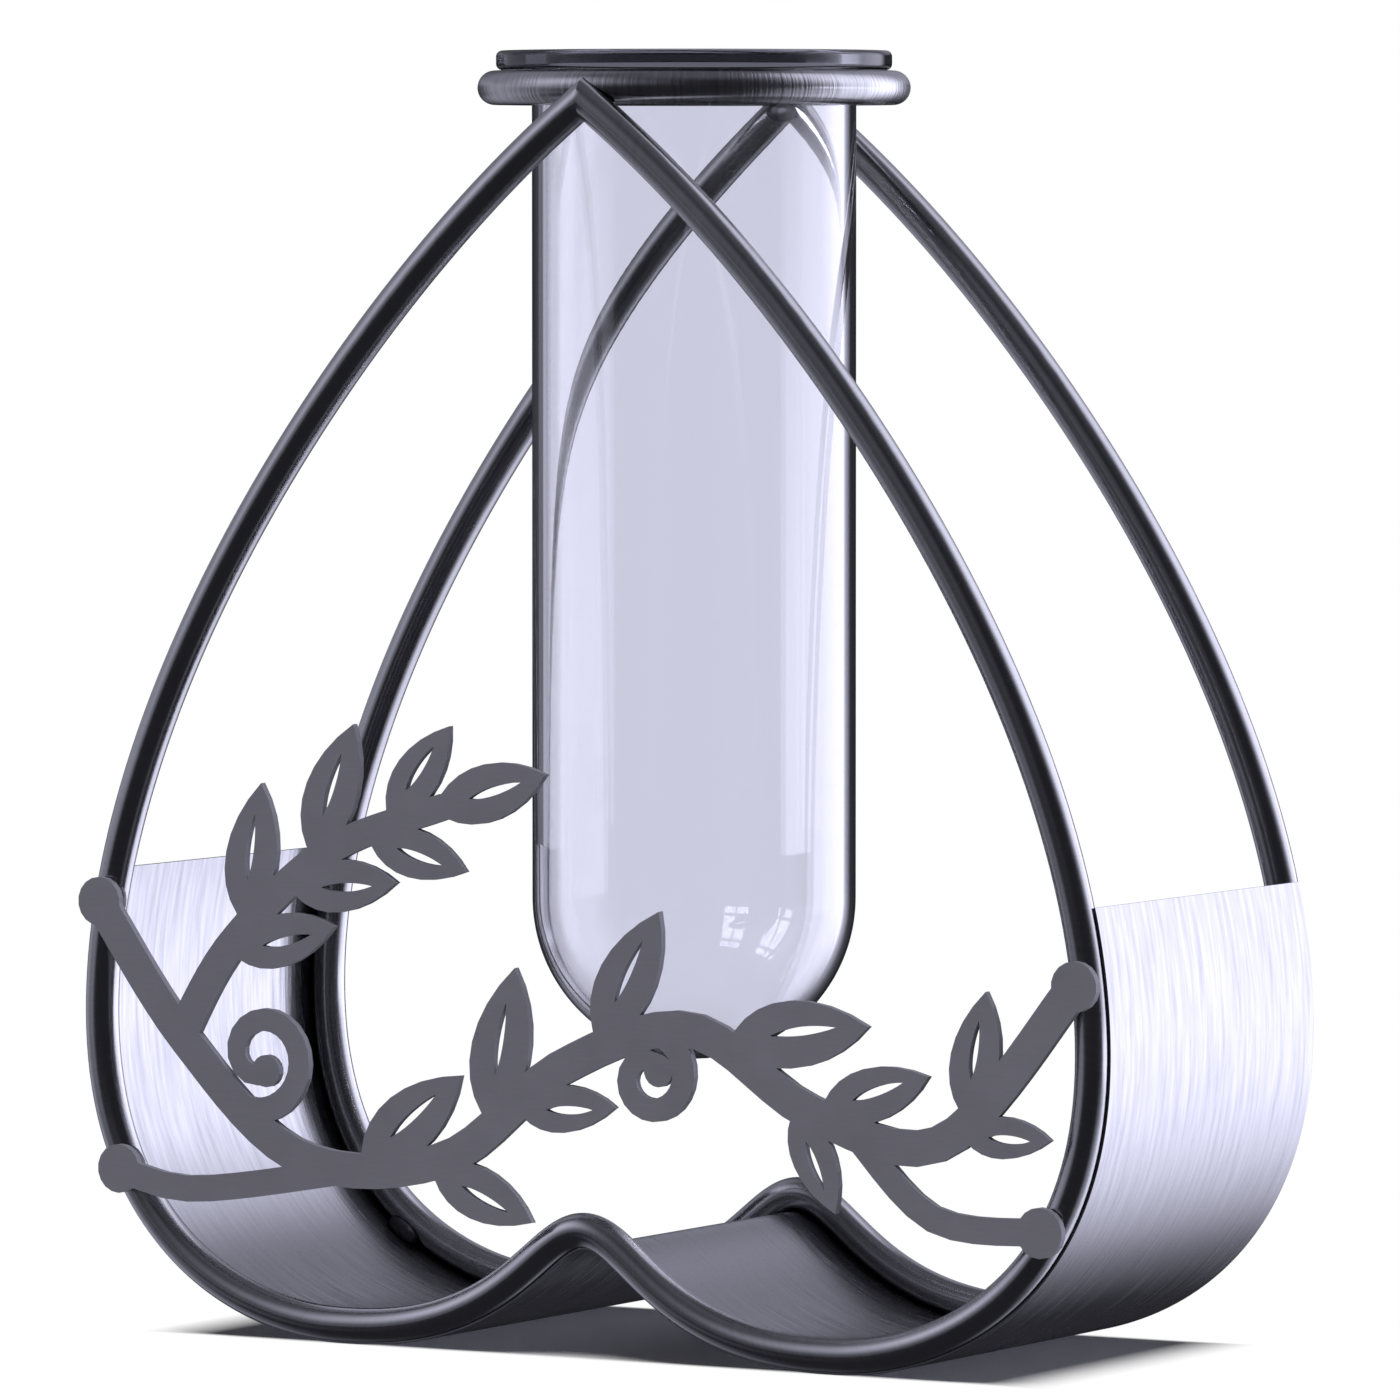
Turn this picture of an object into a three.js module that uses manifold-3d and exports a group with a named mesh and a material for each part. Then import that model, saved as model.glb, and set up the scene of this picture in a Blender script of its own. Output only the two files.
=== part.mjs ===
import * as THREE from 'three';
import * as BufferGeometryUtils from 'three/addons/utils/BufferGeometryUtils.js';
import Module from 'manifold-3d';

const wasm = await Module();
wasm.setup();

// All sizes are in mm. The tube's axis is Z, the floor is z = 0 and the front looks along -Y.

// Fits
const FIT_GAP = 0.25; // between a welded piece and the piece that carries it
const SEAT_GAP = 0.3; // between the rim's underside and the ring's crest

// Round rod and sheet
const ROD_DIAMETER = 3.85;
const RING_ROD_DIAMETER = 3.9;
const BAND_THICKNESS = 0.3;
const PLATE_THICKNESS = 0.9;
const ROD_SIDES = 16;
const RING_STEPS = 64;

// Hoop outline, one half: apex, widest point, lobe bottom and cleft, joined by cubic curves
const APEX_HEIGHT = 140.6;
const APEX_SLOPE = THREE.MathUtils.degToRad(36.4);
const APEX_REACH = 38.4; // handle of the curve that leaves the apex
const WIDEST_X = 63.85;
const WIDEST_HEIGHT = 36.5;
const WIDEST_REACH_UP = 35.9;
const WIDEST_REACH_DOWN = 26.6;
const LOBE_X = 31.4;
const LOBE_REACH_OUT = 12.0;
const LOBE_REACH_IN = 21.2;
const LOBE_FLAT = 1.2; // short level run the frame stands on, under each lobe
const CLEFT_HEIGHT = 14.72;
const CLEFT_REACH = 6.3;
const LEG_STEPS = 18;
const SIDE_STEPS = 12;
const LOBE_STEPS = 14;

// Band, and the ring's place on the hoops
const BAND_TOP = 52.55;
const RING_RISE = 1.4; // of the ring's centreline above the hoops' apexes
const APEX_SETOUT = 1.95; // of the hoops' centre planes from the ring's centreline
const RING_TUBE_GAP = 2.25; // between the ring's inside and the tube

// Vine plate: its height range, stem and leaf sizes, and the heights of its four tabs
const VINE_LOW = 13.3;
const VINE_RISE = 61.0;
const STEM_WIDTH = 4.0;
const TWIG_WIDTH = 3.0;
const TENDRIL_WIDTH = 2.3;
const TENDRIL_RADIUS_LEFT = 6.5;
const TENDRIL_RADIUS_RIGHT = 5.2;
const LEAF_LENGTH = 18.0;
const LEAF_WIDTH = 7.6;
const VEIN_WIDTH = 1.0;
const TAB_RADIUS = 2.8;
const TAB_LEFT_HIGH = 49.3;
const TAB_LEFT_LOW = 18.8;
const TAB_RIGHT_HIGH = 44.3;
const TAB_RIGHT_LOW = 17.3;

// Weld beads
const WELD_LENGTH = 4.0;
const WELD_WIDTH = 1.9;
const WELD_GAP = 0.2;
const APEX_WELD_IN = 0.6; // from the ring's centreline towards the tube
const APEX_WELD_DOWN = 0.75; // below the ring
const BAND_WELD_DROP = 4.9; // below the band's top edge
const BAND_WELD_LOW = 9.0;
const BAND_WELD_OUT = 1.5; // from the hoop's centreline towards the band
const BAND_WELD_IN = 1.7; // from the hoop's plane towards the tube
const PLATE_WELD_IN = 1.3; // from the hoop's centreline towards its middle
const PLATE_WELD_AHEAD = 1.45; // from the hoop's plane towards the plate

// Glass tube
const TUBE_DIAMETER = 36.7;
const TUBE_WALL = 1.6;
const TUBE_LENGTH = 114.25;
const RIM_SEAT = 1.8; // how far the rim reaches out over the ring
const RIM_THICKNESS = 2.2;
const RIM_CORNER = 0.7;
const MOUTH_CORNER = 0.6;
const TUBE_STEPS = 52;

// Sizes that follow from the ones above
const rodRadius = ROD_DIAMETER / 2;
const ringRodRadius = RING_ROD_DIAMETER / 2;
const tubeRadius = TUBE_DIAMETER / 2;
const ringInner = tubeRadius + RING_TUBE_GAP;
const ringRadius = ringInner + ringRodRadius;
const ringHeight = APEX_HEIGHT + RING_RISE;
const rimRadius = ringInner + RIM_SEAT;
const hoopY = ringRadius + APEX_SETOUT;
const bandDepth = 2 * hoopY;
const bandInner = rodRadius + FIT_GAP;
const bandOuter = bandInner + BAND_THICKNESS;
const lobeHeight = bandOuter;
const plateBackY = -hoopY - rodRadius - FIT_GAP;

const steel = (color, roughness) =>
  new THREE.MeshStandardMaterial({ color, roughness, metalness: 1 });
const rodSteel = () => steel(0x5b5a63, 0.32);
const bandSteel = () => steel(0xb4b4bd, 0.3);
const plateSteel = () => steel(0x62616b, 0.45);
const weldSteel = () => steel(0x4a4950, 0.55);
const glass = () =>
  new THREE.MeshStandardMaterial({
    color: 0xcfcfe2,
    roughness: 0.05,
    metalness: 0,
    transparent: true,
    opacity: 0.35,
  });

const part = new THREE.Group();
part.name = 'glass_vase_with_metal_frame';

function addPiece(name, geometry, material) {
  const piece = new THREE.Mesh(geometry, material);
  piece.name = name;
  part.add(piece);
}

// Solid from a closed geometry, and back again
function solidOf(geometry) {
  const bare = geometry.clone();
  bare.deleteAttribute('normal');
  bare.deleteAttribute('uv');
  const merged = BufferGeometryUtils.mergeVertices(bare, 1e-5);
  const mesh = new wasm.Mesh({
    numProp: 3,
    vertProperties: new Float32Array(merged.attributes.position.array),
    triVerts: new Uint32Array(merged.index.array),
  });
  return new wasm.Manifold(mesh);
}

function geometryOf(solid) {
  const mesh = solid.getMesh();
  const geometry = new THREE.BufferGeometry();
  const position = new THREE.BufferAttribute(mesh.vertProperties, mesh.numProp);
  geometry.setAttribute('position', position);
  geometry.setIndex(new THREE.BufferAttribute(mesh.triVerts, 1));
  geometry.computeVertexNormals();
  return geometry;
}

// Right half of the hoop's centreline in the XZ plane, from apex to cleft.
// It runs a little past both ends, so that the sweep can be cut on the plane x = 0.
class HalfHoop extends THREE.Curve {
  constructor() {
    super();
    const at = (x, z) => new THREE.Vector3(x, 0, z);
    const cubic = (a, b, c, d) => new THREE.CubicBezierCurve3(a, b, c, d);
    const lead = 4 * rodRadius;
    const dx = Math.cos(APEX_SLOPE);
    const dz = Math.sin(APEX_SLOPE);
    const apex = at(0, APEX_HEIGHT);
    const widest = at(WIDEST_X, WIDEST_HEIGHT);
    const outer = at(LOBE_X + LOBE_FLAT / 2, lobeHeight);
    const inner = at(LOBE_X - LOBE_FLAT / 2, lobeHeight);
    const cleft = at(0, CLEFT_HEIGHT);
    this.spans = [
      [new THREE.LineCurve3(at(-lead * dx, APEX_HEIGHT + lead * dz), apex), 1],
      [cubic(apex, at(APEX_REACH * dx, APEX_HEIGHT - APEX_REACH * dz),
        at(WIDEST_X, WIDEST_HEIGHT + WIDEST_REACH_UP), widest), LEG_STEPS],
      [cubic(widest, at(WIDEST_X, WIDEST_HEIGHT - WIDEST_REACH_DOWN),
        at(outer.x + LOBE_REACH_OUT, lobeHeight), outer), SIDE_STEPS],
      [new THREE.LineCurve3(outer, inner), 1],
      [cubic(inner, at(inner.x - LOBE_REACH_IN, lobeHeight),
        at(CLEFT_REACH, CLEFT_HEIGHT), cleft), LOBE_STEPS],
      [new THREE.LineCurve3(cleft, at(-rodRadius, CLEFT_HEIGHT)), 1],
    ];
    this.steps = this.spans.reduce((sum, span) => sum + span[1], 0);
  }

  // Each span takes its own number of steps, so tight bends get short ones
  locate(t) {
    let step = t * this.steps;
    for (const [curve, count] of this.spans) {
      if (step <= count) return [curve, step / count];
      step -= count;
    }
    return [this.spans.at(-1)[0], 1];
  }

  getPoint(t, target = new THREE.Vector3()) {
    const [curve, local] = this.locate(t);
    return target.copy(curve.getPoint(local));
  }

  getTangent(t, target = new THREE.Vector3()) {
    const [curve, local] = this.locate(t);
    return target.copy(curve.getTangent(local));
  }

  getPointAt(u, target) {
    return this.getPoint(u, target);
  }

  getTangentAt(u, target) {
    return this.getTangent(u, target);
  }

  // Parameter at which the leg passes a height, above the widest point or below it
  atHeight(z) {
    const above = z > WIDEST_HEIGHT;
    let low = (above ? 1 : 1 + LEG_STEPS) / this.steps;
    let high = (above ? 1 + LEG_STEPS : 1 + LEG_STEPS + SIDE_STEPS) / this.steps;
    for (let i = 0; i < 50; i += 1) {
      const middle = (low + high) / 2;
      if (this.getPoint(middle).z > z) low = middle;
      else high = middle;
    }
    return low;
  }

  // Unit vector in the XZ plane that points out of the hoop
  outward(t) {
    const tangent = this.getTangent(t);
    return new THREE.Vector3(-tangent.z, 0, tangent.x);
  }

  offset(t, distance) {
    return this.getPoint(t).addScaledVector(this.outward(t), distance);
  }
}

const halfHoop = new HalfHoop();

function circle(radius, sides) {
  const shape = new THREE.Shape();
  for (let i = 0; i < sides; i += 1) {
    const angle = ((i + 0.5) * 2 * Math.PI) / sides;
    if (i === 0) shape.moveTo(radius * Math.cos(angle), radius * Math.sin(angle));
    else shape.lineTo(radius * Math.cos(angle), radius * Math.sin(angle));
  }
  return shape;
}

// Whole hoop in the plane y: two mitred halves that meet on x = 0
function hoopSolid(radius, y) {
  const swept = new THREE.ExtrudeGeometry(circle(radius, ROD_SIDES), {
    steps: halfHoop.steps,
    extrudePath: halfHoop,
    bevelEnabled: false,
  });
  const right = solidOf(swept).trimByPlane([1, 0, 0], 0);
  return right.add(right.mirror([1, 0, 0])).translate([0, y, 0]);
}

function ringSolid(radius) {
  const torus = new THREE.TorusGeometry(ringRadius, radius, ROD_SIDES, RING_STEPS);
  torus.translate(0, 0, ringHeight);
  return solidOf(torus);
}

// Support ring and the two hoops, whose apexes are coped to the ring
const copeTool = ringSolid(ringRodRadius + FIT_GAP);
addPiece('support_ring', geometryOf(ringSolid(ringRodRadius)), rodSteel());
addPiece('front_hoop', geometryOf(hoopSolid(rodRadius, -hoopY).subtract(copeTool)), rodSteel());
addPiece('rear_hoop', geometryOf(hoopSolid(rodRadius, hoopY).subtract(copeTool)), rodSteel());

// Band: the hoop's lower outline set outward, from one top edge round to the other
function bandSolid(inner, outer, depth) {
  const first = halfHoop.atHeight(BAND_TOP);
  const cleft = 1 - 1 / halfHoop.steps;
  const count = Math.round((cleft - first) * halfHoop.steps) + 6;
  const params = Array.from({ length: count + 1 }, (_, i) => first + ((cleft - first) * i) / count);
  const side = (distance) => {
    const right = params.map((t) => halfHoop.offset(t, distance));
    const left = right.slice(0, -1).reverse().map((p) => new THREE.Vector3(-p.x, 0, p.z));
    return [...right, ...left].map((p) => new THREE.Vector2(p.x, p.z));
  };
  const shape = new THREE.Shape([...side(outer), ...side(inner).reverse()]);
  const sheet = new THREE.ExtrudeGeometry(shape, { depth, steps: 1, bevelEnabled: false });
  sheet.rotateX(Math.PI / 2);
  sheet.translate(0, depth / 2, 0);
  return solidOf(sheet);
}

addPiece('base_band', geometryOf(bandSolid(bandInner, bandOuter, bandDepth)), bandSteel());

// Glass tube with a round bottom, an open mouth and a flange rim
function tubeGeometry() {
  const outer = tubeRadius;
  const inner = outer - TUBE_WALL;
  const rim = rimRadius;
  const rimLow = ringHeight + ringRodRadius + SEAT_GAP;
  const rimTop = rimLow + RIM_THICKNESS;
  const bowl = rimTop - TUBE_LENGTH + outer;
  const profile = new THREE.Path();
  const turn = Math.PI / 2;
  profile.absarc(0, bowl, outer, -turn, 0, false);
  profile.lineTo(outer, rimLow);
  profile.absarc(rim - RIM_CORNER, rimLow + RIM_CORNER, RIM_CORNER, -turn, 0, false);
  profile.absarc(rim - RIM_CORNER, rimTop - RIM_CORNER, RIM_CORNER, 0, turn, false);
  profile.absarc(inner + MOUTH_CORNER, rimTop - MOUTH_CORNER, MOUTH_CORNER, turn, 2 * turn, false);
  profile.lineTo(inner, bowl);
  profile.absarc(0, bowl, inner, 0, -turn, true);
  const points = [];
  for (const curve of profile.curves) {
    const round = curve.isEllipseCurve ? Math.max(3, Math.round(curve.xRadius / 2)) : 1;
    for (const p of curve.getPoints(round)) {
      const last = points.at(-1);
      if (!last || last.distanceTo(p) > 1e-4) points.push(p);
    }
  }
  points[0].x = 0;
  points.at(-1).x = 0;
  const tube = new THREE.LatheGeometry(points, TUBE_STEPS);
  tube.rotateX(Math.PI / 2);
  return tube;
}

addPiece('glass_tube', geometryOf(solidOf(tubeGeometry())), glass());

// Vine plate, drawn in the XZ plane and cut from one flat sheet
const vineAt = (x, z) => new THREE.Vector2(x * WIDEST_X, VINE_LOW + z * VINE_RISE);

function tabAt(side, height) {
  const p = halfHoop.getPoint(halfHoop.atHeight(height));
  return new THREE.Vector2(side * p.x, p.z);
}

function sheetSolid(shape) {
  const depth = PLATE_THICKNESS;
  const sheet = new THREE.ExtrudeGeometry(shape, { depth, bevelEnabled: false, curveSegments: 9 });
  sheet.rotateX(Math.PI / 2);
  sheet.translate(0, plateBackY, 0);
  return solidOf(sheet);
}

// Strip of sheet along a curve, with a width that runs from one end's to the other's
function strip(curve, from, to, count) {
  const edge = (sign) =>
    Array.from({ length: count + 1 }, (_, i) => {
      const u = i / count;
      const along = curve.getTangentAt(u);
      const half = (sign * THREE.MathUtils.lerp(from, to, u)) / 2;
      const p = curve.getPointAt(u);
      return new THREE.Vector2(p.x - along.y * half, p.y + along.x * half);
    });
  return sheetSolid(new THREE.Shape([...edge(-1), ...edge(1).reverse()]));
}

function disc(centre, radius) {
  const shape = circle(radius, 18);
  return sheetSolid(new THREE.Shape(shape.getPoints().map((p) => p.clone().add(centre))));
}

// Pointed leaf with a slot cut along its vein; it bends a little to one side
function leaf(base, angle, length, bend) {
  const width = (LEAF_WIDTH * length) / LEAF_LENGTH;
  const place = (x, y) =>
    new THREE.Vector2(x * length, y * width + bend * x * x * width)
      .rotateAround(new THREE.Vector2(), angle)
      .add(base);
  const lens = (target, from, to, swell) => {
    const [a, b] = [place(from, 0), place(to, 0)];
    const third = (to - from) / 3;
    const [up, high] = [place(from + third * 0.7, swell), place(to - third, swell)];
    const [low, down] = [place(to - third, -swell), place(from + third * 0.7, -swell)];
    target.moveTo(a.x, a.y);
    target.bezierCurveTo(low.x - high.x + up.x, low.y - high.y + up.y, low.x, low.y, b.x, b.y);
    target.bezierCurveTo(high.x, high.y, up.x, up.y, a.x, a.y);
    return target;
  };
  const shape = lens(new THREE.Shape(), 0, 1, 0.667);
  shape.holes.push(lens(new THREE.Path(), 0.32, 0.78, (0.667 * VEIN_WIDTH) / width));
  return sheetSolid(shape);
}

// Leaf that grows from a stem at a place along it, to one side
function leafOn(curve, u, side, size, spread) {
  const along = curve.getTangentAt(u);
  const angle = Math.atan2(along.y, along.x) + side * spread;
  return leaf(curve.getPointAt(u), angle, size * LEAF_LENGTH, -0.35 * side);
}

// Tendril that leaves a stem and winds inward to a small round end
class Tendril extends THREE.Curve {
  constructor(start, heading, radius, side, turns) {
    super();
    Object.assign(this, { start, heading, radius, side, turns });
  }

  getPoint(t, target = new THREE.Vector2()) {
    const swing = 2 * Math.PI * this.turns * t;
    const reach = this.radius * (1 - 0.72 * t);
    const from = this.heading - (this.side * Math.PI) / 2;
    const centre = new THREE.Vector2(Math.cos(from), Math.sin(from)).multiplyScalar(-this.radius);
    const angle = from + this.side * swing;
    return target
      .set(Math.cos(angle), Math.sin(angle))
      .multiplyScalar(reach)
      .add(centre)
      .add(this.start);
  }
}

function tendrilOn(curve, u, side, radius, turns) {
  const along = curve.getTangentAt(u);
  const heading = Math.atan2(along.y, along.x) + side * 0.25;
  const tendril = new Tendril(curve.getPointAt(u), heading, radius, side, turns);
  const winding = strip(tendril, TWIG_WIDTH, TENDRIL_WIDTH, 24);
  return winding.add(disc(tendril.getPointAt(1), 0.8 * TENDRIL_WIDTH));
}

const tabs = {
  left_high: tabAt(-1, TAB_LEFT_HIGH),
  left_low: tabAt(-1, TAB_LEFT_LOW),
  right_high: tabAt(1, TAB_RIGHT_HIGH),
  right_low: tabAt(1, TAB_RIGHT_LOW),
};

function vineSolid() {
  const through = (...points) => new THREE.SplineCurve(points);
  const stem = through(
    tabs.left_high, vineAt(-0.8, 0.34), vineAt(-0.56, 0.13), vineAt(-0.26, 0.14),
    vineAt(-0.02, 0.32), vineAt(0.24, 0.4), vineAt(0.48, 0.26), vineAt(0.74, 0.22), tabs.right_high,
  );
  const spray = through(
    stem.getPointAt(0.12), vineAt(-0.7, 0.52), vineAt(-0.5, 0.7), vineAt(-0.26, 0.79),
  );
  const leftTwig = through(tabs.left_low, vineAt(-0.78, 0.06), stem.getPointAt(0.3));
  const rightTwig = through(stem.getPointAt(0.77), vineAt(0.72, 0.08), tabs.right_low);
  const pieces = [
    strip(stem, STEM_WIDTH, STEM_WIDTH, 56),
    strip(spray, STEM_WIDTH, TWIG_WIDTH, 24),
    strip(leftTwig, TWIG_WIDTH, TWIG_WIDTH, 10),
    strip(rightTwig, TWIG_WIDTH, TWIG_WIDTH, 10),
    ...Object.values(tabs).map((tab) => disc(tab, TAB_RADIUS)),
  ];
  for (const [u, side, size] of [
    [0.31, 1, 0.95], [0.37, -1, 0.8], [0.43, 1, 1.0], [0.455, -1, 0.72], [0.54, 1, 0.95],
    [0.65, 1, 1.0], [0.72, -1, 0.7], [0.74, 1, 0.8], [0.87, 1, 0.8], [0.86, -1, 0.62],
  ]) {
    pieces.push(leafOn(stem, u, side, size, 0.85));
  }
  for (const [u, side, size] of [
    [0.26, -1, 0.8], [0.34, 1, 0.9], [0.5, -1, 0.8], [0.6, 1, 0.9], [0.77, -1, 0.75],
    [0.84, 1, 0.75], [0.97, 0, 0.85],
  ]) {
    pieces.push(leafOn(spray, u, side, size, 0.8));
  }
  pieces.push(tendrilOn(stem, 0.19, 1, TENDRIL_RADIUS_LEFT, 1.15));
  pieces.push(tendrilOn(stem, 0.585, -1, TENDRIL_RADIUS_RIGHT, 1.15));
  return pieces.reduce((whole, piece) => whole.add(piece));
}

addPiece('vine_plate', geometryOf(vineSolid()), plateSteel());

// Weld beads: a small ellipsoid laid in a corner between two pieces and cut clear of both
function beadSolid(centre, along, across, tools) {
  const bead = new THREE.SphereGeometry(1, 12, 8);
  const third = new THREE.Vector3().crossVectors(along, across);
  const turn = new THREE.Matrix4().makeBasis(along, across, third).setPosition(centre);
  bead.scale(WELD_LENGTH / 2, WELD_WIDTH / 2, WELD_WIDTH / 2);
  bead.applyMatrix4(turn);
  return tools.reduce((solid, tool) => solid.subtract(tool), solidOf(bead));
}

const clearRing = ringSolid(ringRodRadius + WELD_GAP);
const clearBand = bandSolid(bandInner - WELD_GAP, bandOuter + WELD_GAP, bandDepth + 2 * WELD_GAP);
const clearHoop = (y) => hoopSolid(rodRadius + WELD_GAP, y);
const clearPlate = solidOf(
  new THREE.BoxGeometry(3 * WIDEST_X, WELD_LENGTH, 2 * APEX_HEIGHT)
    .translate(0, plateBackY + WELD_GAP - WELD_LENGTH / 2, 0),
);

// Bead on a hoop's leg, at a distance out from its centreline and a place along Y
function weldOnHoop(side, height, out, y, tools) {
  const t = halfHoop.atHeight(height);
  const mirror = new THREE.Vector3(side, 1, 1);
  const along = halfHoop.getTangent(t).multiply(mirror);
  const outward = halfHoop.outward(t).multiply(mirror);
  const centre = halfHoop.getPoint(t).multiply(mirror).addScaledVector(outward, out);
  centre.y = y;
  return beadSolid(centre, along, outward, tools);
}

const clearFront = clearHoop(-hoopY);
const clearRear = clearHoop(hoopY);
for (const [place, y, hoop] of [['front', -hoopY, clearFront], ['rear', hoopY, clearRear]]) {
  const side = Math.sign(y);
  const underRing = ringHeight - ringRodRadius - APEX_WELD_DOWN;
  const centre = new THREE.Vector3(0, side * (ringRadius - APEX_WELD_IN), underRing);
  const along = new THREE.Vector3(1, 0, 0);
  const bead = beadSolid(centre, along, new THREE.Vector3(0, 0, 1), [clearRing, hoop]);
  addPiece(`apex_weld_${place}`, geometryOf(bead), weldSteel());
}
for (const [place, side] of [['left', -1], ['right', 1]]) {
  for (const [level, height] of [['high', BAND_TOP - BAND_WELD_DROP], ['low', BAND_WELD_LOW]]) {
    const front = weldOnHoop(side, height, BAND_WELD_OUT, -hoopY + BAND_WELD_IN, [clearFront, clearBand]);
    const rear = weldOnHoop(side, height, BAND_WELD_OUT, hoopY - BAND_WELD_IN, [clearRear, clearBand]);
    addPiece(`band_weld_front_${place}_${level}`, geometryOf(front), weldSteel());
    addPiece(`band_weld_rear_${place}_${level}`, geometryOf(rear), weldSteel());
  }
}
for (const [place, tab] of Object.entries(tabs)) {
  const ahead = -hoopY - PLATE_WELD_AHEAD;
  const bead = weldOnHoop(Math.sign(tab.x), tab.y, -PLATE_WELD_IN, ahead, [clearFront, clearPlate]);
  addPiece(`plate_weld_${place}`, geometryOf(bead), weldSteel());
}

export default part;
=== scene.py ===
"""Looks of a glass tube vase in a welded steel frame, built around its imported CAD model."""

import math

import bpy
from bpy.props import FloatProperty, FloatVectorProperty, IntProperty, PointerProperty
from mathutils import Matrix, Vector
from mathutils.geometry import interpolate_bezier


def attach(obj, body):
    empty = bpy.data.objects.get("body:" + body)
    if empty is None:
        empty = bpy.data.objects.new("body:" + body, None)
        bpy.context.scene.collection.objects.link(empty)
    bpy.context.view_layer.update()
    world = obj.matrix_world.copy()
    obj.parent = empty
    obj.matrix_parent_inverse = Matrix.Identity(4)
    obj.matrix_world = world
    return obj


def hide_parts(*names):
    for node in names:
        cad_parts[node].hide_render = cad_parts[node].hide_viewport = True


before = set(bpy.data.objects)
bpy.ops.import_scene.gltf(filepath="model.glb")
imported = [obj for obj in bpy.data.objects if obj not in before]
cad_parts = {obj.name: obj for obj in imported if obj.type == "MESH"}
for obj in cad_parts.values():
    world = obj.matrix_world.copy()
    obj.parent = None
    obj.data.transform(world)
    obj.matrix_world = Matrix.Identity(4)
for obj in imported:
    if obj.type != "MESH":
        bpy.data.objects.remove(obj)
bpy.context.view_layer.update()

bl_info = {
    "name": "Glass Vase with Metal Frame",
    "version": (1, 0, 0),
    "blender": (4, 5, 0),
    "location": "View3D > Sidebar > Vase",
    "description": "Builds the pieces, finishes and stage of a tube vase in a heart-shaped frame",
    "category": "Add Mesh",
}

FULL_TURN = 2 * math.pi
X_AXIS = Vector((1, 0, 0))
Y_AXIS = Vector((0, 1, 0))
Z_AXIS = Vector((0, 0, 1))

# Heights about which the brush lines of the hoops and the band turn
HOOP_MIDDLE_HEIGHT = 0.055
BAND_MIDDLE_HEIGHT = 0.036

# Distances under which vertices count as one: in a mesh, across its mirror plane and on a cut
MERGE_DISTANCE = 1e-6
MIRROR_MERGE = 1e-5
CUT_MERGE = 1e-7

# Steps along half the heart outline: leg, side and lobe
HOOP_STEPS = (72, 44, 52)
BAND_STEPS = (120, 56, 64)

# Steps of the cutter that copes the hoops to the ring: round the ring and round its rod
COPE_STEPS = (160, 40)

# Steps of the tube's section: round bottom and small corners
BOWL_STEPS = 40
CORNER_STEPS = 8

# Half width of the change from the clear tube to the rim's painted shade
RIM_BLEND = 0.0001

# Floor and camera: side of the floor in metres, tone of its darker grain, and sensor width in mm
FLOOR_SIZE = 40
FLOOR_GRAIN = 0.995
SENSOR_WIDTH = 36

# Where the floor turns from paint to plain white for the camera: its start and its end
WHITE_PAST_ENDS = (0.050, 0.0588)
WHITE_PAST_FRONT = (-0.0232, -0.0252)
WHITE_PAST_BACK = (0.0240, 0.0258)

# Colours of the soft light from all round and of the room that shows in metal and glass
SKY_COLOUR = (0.93, 0.93, 1)
ROOM_COLOUR = (0.80, 0.80, 1)

# Panels of the room that show in metal and glass. Each has its level, then left, right, low and high
# in degrees, then how soft its sides are and how soft its top and bottom are.
PANELS_FROM_BACK = {
    "window wall": (1.1, 18, 68, -50, 66, 12, 6),
    "middle of the window": (0.9, 6, 66, -26, 30, 6, 20),
    "bright pane": (1.3, 8, 36, -14, 16, 6, 14),
    "glow above": (0.7, 15, 85, 18, 52, 25, 18),
    "right slit": (0.4, 70, 83, -30, 66, 5, 4),
    "level belt": (1.0, 36, 64, -8, -1, 6, 2),
    "far strip": (2.1, 64, 81.5, -8, -1, 0.8, 2),
    "floor glow": (0.45, -2, 100, -62, -12, 14, 12),
    "left wall": (0.45, -30, 12, 6, 52, 10, 4),
}
PANELS_FROM_FRONT = {
    "front lamp": (1.5, 40, 70, 8, 45, 32, 18),
    "glow behind the camera": (0.2, -10, 45, 15, 42, 20, 18),
    "side wall": (0.35, 78, 134, -45, 58, 18, 16),
    "low side wall": (0.2, 45, 137, -32, 10, 15, 4),
    "strip in front": (0.2, 30, 54, -8, 0, 1, 2),
}

# Light of the bare room, and of its ceiling, whose low, high and softness are in degrees
ROOM_LEVEL = 0.035
CEILING_LEVEL = 0.14
CEILING = (52, 128, 20)

# Dark post at the left: the share of the room's light that it takes, then its place from the front
DARK_POST = (0.85, 116, 155, -14, 4, 2, 4)

# Windows that show only deep in the glass: left, right, low and high in degrees from the front,
# their level, and the count of glass surfaces that light has to pass before it shows them
GLASS_WINDOWS = ((-6, 13, 10, 40), (32, 54, 8, 40))
GLASS_WINDOW_LEVEL = 14.0
GLASS_WINDOW_DEPTH = 4.5

# Softness of those windows' edges and bars, and the bars' places from the middle, the low and the high edge
PANE_EDGE = 0.4
BAR_EDGE = 0.3
BAR_HALF_WIDTH = 0.8
LOW_BAR = (5, 7)
HIGH_BAR = (6, 4)

# How much red and green the backdrop loses where it shows through the glass
THROUGH_TINT = 0.19


def length(name, default, description):
    """Property for a length in metres."""
    return FloatProperty(
        name=name,
        description=description,
        default=default,
        unit="LENGTH",
        subtype="DISTANCE",
        precision=5,
    )


def angle(name, degrees, description):
    """Property for an angle, set in degrees."""
    return FloatProperty(
        name=name,
        description=description,
        default=math.radians(degrees),
        unit="ROTATION",
        subtype="ANGLE",
    )


def colour(name, default, description):
    """Property for a linear colour."""
    return FloatVectorProperty(
        name=name,
        description=description,
        default=default,
        size=3,
        min=0,
        max=1,
        subtype="COLOR",
    )


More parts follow.
